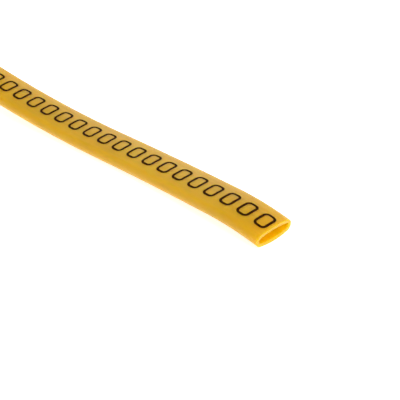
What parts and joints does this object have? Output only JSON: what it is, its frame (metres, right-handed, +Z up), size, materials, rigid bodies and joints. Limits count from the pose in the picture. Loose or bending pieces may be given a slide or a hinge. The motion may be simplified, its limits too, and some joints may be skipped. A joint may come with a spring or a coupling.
{
  "type": "cable marker",
  "caption": "Soft yellow oval sleeve, open at both ends, with a row of plain zeros printed along its top, that slides over a wire to mark it.",
  "frame": {"origin": "on the table that the sleeve rests on, midway between its two mouths and midway across the bow that it makes", "axes": "+X along the sleeve to its drooping front mouth, +Y across it to the left, +Z up"},
  "size_m": [0.0603, 0.0084, 0.0053],
  "materials": {
    "sleeve_plastic": "soft semi-gloss yellow PVC, slightly translucent"
  },
  "bodies": {
    "root": {"sleeve": "sleeve_plastic"}
  },
  "joints": []
}
